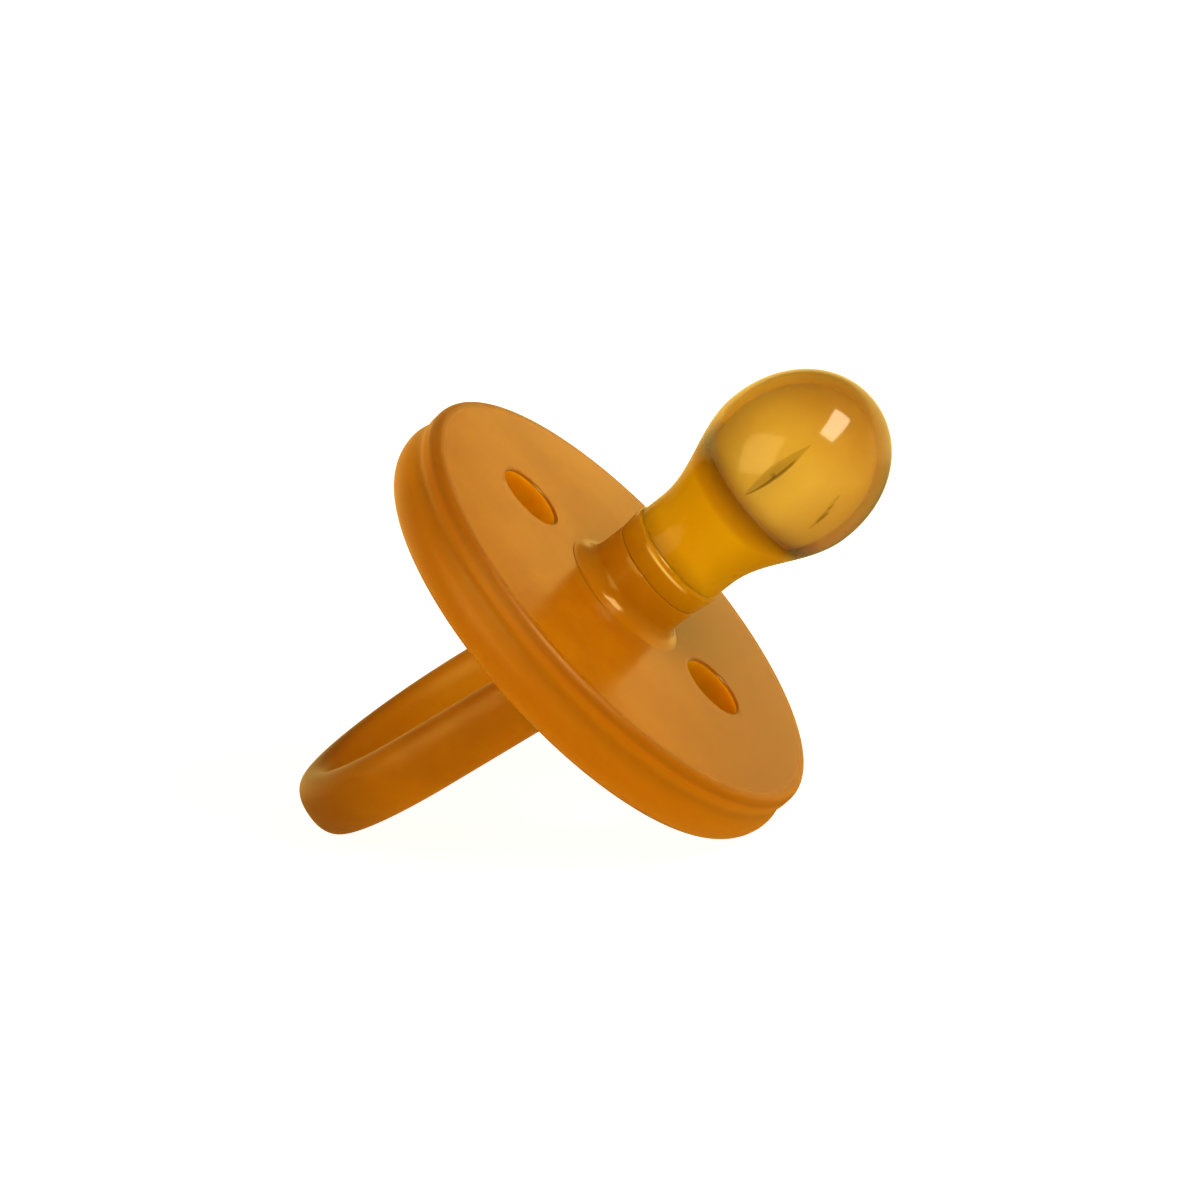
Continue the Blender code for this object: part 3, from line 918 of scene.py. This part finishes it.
def make_floor():
    bm = bmesh.new()
    bmesh.ops.create_grid(bm, x_segments=2, y_segments=2, size=FLOOR_HALF)
    floor = add_object("floor", bm, Matrix.Translation((0, 0, -FLOOR_DROP * MM)))
    floor.data.materials.append(paper("floor_paper", 0.92))
    floor.visible_glossy = False


def make_wall():
    """A pale wall all round, for views from low down. Only the camera sees it."""
    outside = WALL_RADIUS + WALL_THICKNESS
    outline = [(WALL_RADIUS, 0), (WALL_RADIUS, WALL_HEIGHT), (outside, WALL_HEIGHT), (outside, 0)]
    wall = add_object("wall", lathe(outline, even_angles(64)), Matrix.Identity(4))
    wall.data.materials.append(paper("wall_paper", 1.0))
    wall.visible_diffuse = False
    wall.visible_glossy = False
    wall.visible_transmission = False
    wall.visible_shadow = False


def add_light(name, towards, distance, size, colour, power, turn=0.0):
    """A rectangular soft light that faces the pacifier from a direction, in metres and watts."""
    light = bpy.data.lights.new(name, "AREA")
    light.shape = "RECTANGLE"
    light.size, light.size_y = size
    light.color = colour
    light.energy = power
    lamp = bpy.data.objects.new(name, light)
    way = Vector(towards).normalized()
    lamp.matrix_world = (
        Matrix.Translation(way * distance)
        @ way.to_track_quat("Z", "Y").to_matrix().to_4x4()
        @ Matrix.Rotation(turn, 4, "Z")
    )
    bpy.context.scene.collection.objects.link(lamp)


def make_world():
    """A dim studio with a bright, warm backdrop low down behind the pacifier."""
    world = bpy.data.worlds.new("studio")
    world.use_nodes = True
    tree = world.node_tree
    background = tree.nodes["Background"]
    where = tree.nodes.new("ShaderNodeTexCoord")
    split = tree.nodes.new("ShaderNodeSeparateXYZ")
    tree.links.new(where.outputs["Generated"], split.inputs["Vector"])

    def ramp(axis, start, end):
        node = tree.nodes.new("ShaderNodeMapRange")
        node.interpolation_type = "SMOOTHSTEP"
        node.inputs["From Min"].default_value = start
        node.inputs["From Max"].default_value = end
        tree.links.new(split.outputs[axis], node.inputs["Value"])
        return node.outputs["Result"]

    share = ramp("Y", -0.1, 0.4)
    for start, end in (BACKDROP_TOP, BACKDROP_FOOT):
        height = ramp("Z", math.sin(math.radians(start)), math.sin(math.radians(end)))
        both = tree.nodes.new("ShaderNodeMath")
        both.operation = "MULTIPLY"
        tree.links.new(share, both.inputs[0])
        tree.links.new(height, both.inputs[1])
        share = both.outputs[0]
    colour = tree.nodes.new("ShaderNodeMix")
    colour.data_type = "RGBA"
    tree.links.new(share, colour.inputs["Factor"])
    first, second = (i for i in colour.inputs if i.type == "RGBA")
    first.default_value = (*ROOM, 1.0)
    second.default_value = (*BACKDROP, 1.0)
    tree.links.new(next(o for o in colour.outputs if o.type == "RGBA"), background.inputs["Color"])
    bpy.context.scene.world = world


def make_camera():
    azimuth, elevation = CAMERA_AZIMUTH, CAMERA_ELEVATION
    level = Vector((math.cos(azimuth), math.sin(azimuth), 0))
    back = Vector((math.sin(azimuth), -math.cos(azimuth), 0)) * math.cos(elevation)
    back.z = math.sin(elevation)
    upright = back.cross(level)
    right = level * math.cos(CAMERA_ROLL) - upright * math.sin(CAMERA_ROLL)
    up = back.cross(right)
    aim = SHIELD.translation + (right * CAMERA_AIM[0] + up * CAMERA_AIM[1]) * MM
    camera = bpy.data.objects.new("camera", bpy.data.cameras.new("camera"))
    turn = Matrix((right, up, back)).transposed().to_4x4()
    camera.matrix_world = Matrix.Translation(aim + back * CAMERA_DISTANCE * MM) @ turn
    camera.data.sensor_width = 36
    camera.data.lens = CAMERA_LENS
    camera.data.clip_start = 0.01
    bpy.context.scene.collection.objects.link(camera)
    bpy.context.scene.camera = camera


# ---------------------------------------------------------------------------------------------
# Put together


def dress():
    """Make every material and piece, put the shield on its body, and hide the CAD nodes that the pieces stand in
    for.
    """
    shield_rubber = rubber(
        "shield_rubber",
        (0.44, 0.145, 0.001),
        (0.39, 0.122, 0.001),
        4.0,
        (0.18, 0.28),
        {
            # painted shade: darker towards the bottom and the right of the face
            "lower": (0.27, 0.07, 0.001),
            # painted shade: the rim's slightly darker tone
            "rim_dull_and_painted_shade": (0.41, 0.13, 0.001),
            # painted light: the upper rim's paler tone
            "upper_rim_painted_light": (0.56, 0.19, 0.001),
            # painted shade: the lip's darker tone
            "lip_painted_shade": (0.29, 0.094, 0.001),
            # painted light: the paler tone high on the vents' walls
            "vent": (0.68, 0.32, 0.001),
            # painted shade: the dark outline round the vents
            "vent_edge_painted_shade": (0.25, 0.07, 0.001),
        },
        dull="rim_dull_and_painted_shade",
        seam="bonded",
    )
    handle_rubber = rubber(
        "handle_rubber",
        (0.41, 0.134, 0.001),
        (0.36, 0.112, 0.001),
        3.0,
        (0.34, 0.46),
        # painted light: the paler side facing into the loop
        # painted shade: the darker far end of the loop
        {"inner": (0.55, 0.215, 0.002), "end": (0.22, 0.06, 0.001)},
        seam="bonded",
    )
    collar_rubber = rubber(
        "collar_rubber",
        (0.5, 0.185, 0.001),
        (0.45, 0.16, 0.001),
        1.2,
        (0.1, 0.16),
        {"root": (0.42, 0.138, 0.001)},
        seam="bonded",
    )
    band_rubber = rubber(
        "band_rubber",
        (0.52, 0.225, 0.001),
        (0.46, 0.19, 0.001),
        0.8,
        (0.12, 0.2),
        # painted highlight: the pale streak on the band
        {"painted_highlight_streak": (1.0, 0.7, 0.2)},
    )
    teat_rubber = clear_rubber(
        "teat_rubber",
        (0.66, 0.34, 0.002),
        (0.6, 0.31, 0.003),
        (0.94, 0.83, 0.38),
        (0.4, 0.16, 0.001),
        (0.1, 0.045, 0.001),
    )
    teat_lining = cloudy_lining(
        "teat_lining",
        (0.95, 0.86, 0.75),
        (0.92, 0.82, 0.65),
        (0.95, 0.5, 0.03),
    )

    shield = make_shield()
    use(shield, "shield_rubber", shield_rubber)
    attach(shield, "shield")
    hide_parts("shield_front", "shield_back")

    collar = make_collar()
    use(collar, "collar_rubber", collar_rubber)
    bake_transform(collar)
    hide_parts("neck_collar")

    for piece, node, materials in (
        (make_band(), "neck_band", (band_rubber,)),
        (make_teat(), "teat", (teat_rubber, teat_lining)),
    ):
        use(piece, "teat_rubber", *materials)
        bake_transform(piece)
        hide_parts(node)

    for name, node, side in (("near_foot", "handle_foot_left", -1), ("far_foot", "handle_foot_right", 1)):
        foot = make_foot(name, side)
        use(foot, "handle_rubber", handle_rubber)
        bend_handle(foot)
        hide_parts(node)

    handle = make_handle()
    use(handle, "handle_rubber", handle_rubber)
    bend_handle(handle)
    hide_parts("handle_ring")

    plug = frame["nodes"]["teat_plug"]
    plug.data.materials.clear()
    plug.data.materials.append(collar_rubber)


def bend_handle(piece):
    """Bake a piece's place into its mesh."""
    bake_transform(piece)


make_floor()
make_wall()
make_world()
make_camera()
add_light("window", (0.664, -0.280, 0.693), 0.5, (0.35, 0.18), (1.0, 0.88, 0.6), 2.1, math.radians(20))
add_light("fill", (-0.55, -0.7, 0.45), 0.8, (0.6, 0.6), (1.0, 0.82, 0.3), 3.0)
dress()
bpy.context.scene.view_settings.view_transform = "Standard"
